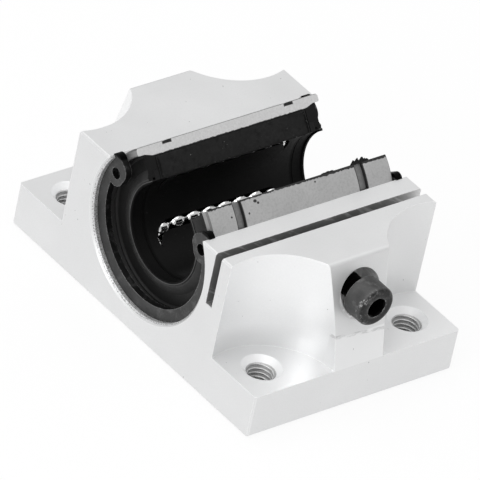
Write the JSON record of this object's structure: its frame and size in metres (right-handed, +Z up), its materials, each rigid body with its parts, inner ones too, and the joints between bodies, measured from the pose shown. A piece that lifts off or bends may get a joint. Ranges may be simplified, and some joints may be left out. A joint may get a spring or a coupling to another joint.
{
  "type": "linear bearing block",
  "caption": "Flanged aluminium block with an open ball bushing for a rail-carried shaft, tapped corner holes, and a side screw that sets the play.",
  "frame": {"origin": "centre of the shaft bore, on its axis, midway along the block", "axes": "+X along the shaft, from the front end to the rear end; +Z up, out of the gap; the adjusting screw is on the -Y side"},
  "size_m": [0.042, 0.0631, 0.0287],
  "materials": {
    "housing_aluminium": "milled and lightly blasted, pale silver",
    "sleeve_steel": "ground bearing steel, satin",
    "black_plastic": "moulded black plastic",
    "seal_rubber": "black nitrile rubber",
    "ball_steel": "polished bearing balls",
    "dark_steel": "black oxide"
  },
  "bodies": {
    "block": {"housing": "housing_aluminium", "bearing_sleeve": "sleeve_steel", "ball_cage": "black_plastic", "ball_circuit_1": "ball_steel", "ball_circuit_2": "ball_steel", "ball_circuit_3": "ball_steel", "ball_circuit_4": "ball_steel", "end_ring_front": "black_plastic", "end_ring_rear": "black_plastic", "wiper_seal_front": "seal_rubber", "wiper_seal_rear": "seal_rubber", "circlip_front": "dark_steel", "circlip_rear": "dark_steel"},
    "adjusting_screw": {"adjusting_screw": "dark_steel"}
  },
  "joints": [
    {"name": "screw_travel", "type": "slide", "parent": "block", "child": "adjusting_screw", "axis": [0, 1, 0], "range_m": [-0.003, 0.0023]}
  ]
}
